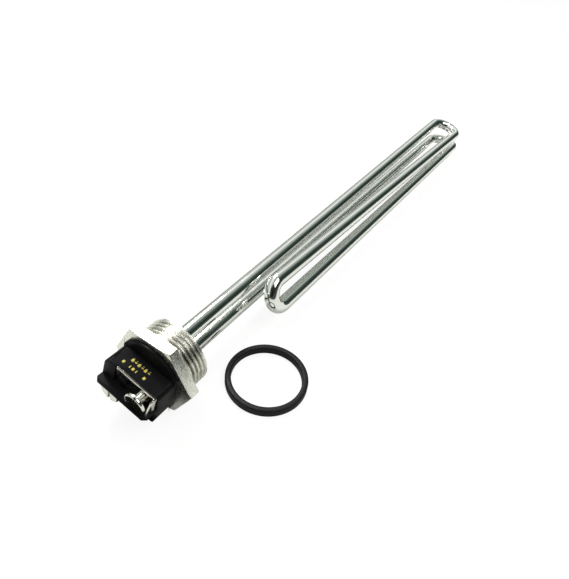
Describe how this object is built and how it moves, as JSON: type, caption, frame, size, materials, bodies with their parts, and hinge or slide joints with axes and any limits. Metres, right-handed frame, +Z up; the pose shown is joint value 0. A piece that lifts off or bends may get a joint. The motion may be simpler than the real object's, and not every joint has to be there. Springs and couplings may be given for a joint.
{
  "type": "water heater element",
  "caption": "Screw-in electric immersion element: hex head with straight thread, folded-back sheathed tube, black terminal block with screws, and a loose ring gasket.",
  "frame": {"origin": "centre of the hex head's back face, on the thread axis, where the gasket seats", "axes": "+X along the element from the head to its far bends, +Z up, with a hex flat down"},
  "size_m": [0.3898, 0.0759, 0.0382],
  "materials": {
    "plated_steel": "zinc-nickel plated, machined",
    "tinned_sheath": "bright tin plate over a drawn tube",
    "packed_mineral": "compacted powder",
    "resistance_wire": "drawn wire",
    "pin_steel": "drawn rod",
    "seal_resin": "cast seal",
    "black_moulding": "moulded thermoset, low sheen",
    "bright_plate": "bright plated strip",
    "bright_screw": "bright plated",
    "nut_brass": "machined",
    "gasket_rubber": "moulded rubber, matt"
  },
  "bodies": {
    "element": {"hex_plug": "plated_steel", "sheath_tube": "tinned_sheath", "insulation_core": "packed_mineral", "heating_coil": "resistance_wire", "cold_pin_a": "pin_steel", "cold_pin_b": "pin_steel", "end_seal_a": "seal_resin", "end_seal_b": "seal_resin", "terminal_block": "black_moulding", "terminal_plate_upper": "bright_plate", "terminal_plate_lower": "bright_plate", "screw_nut_upper": "nut_brass", "screw_nut_lower": "nut_brass", "gasket": "gasket_rubber"},
    "upper_screw": {"terminal_screw_upper": "bright_screw"},
    "lower_screw": {"terminal_screw_lower": "bright_screw"}
  },
  "joints": [
    {"name": "upper_screw_travel", "type": "slide", "parent": "element", "child": "upper_screw", "axis": [1, 0, 0], "range_m": [-0.0015, 0.0039]},
    {"name": "lower_screw_travel", "type": "slide", "parent": "element", "child": "lower_screw", "axis": [1, 0, 0], "range_m": [-0.0029, 0.0025]}
  ]
}
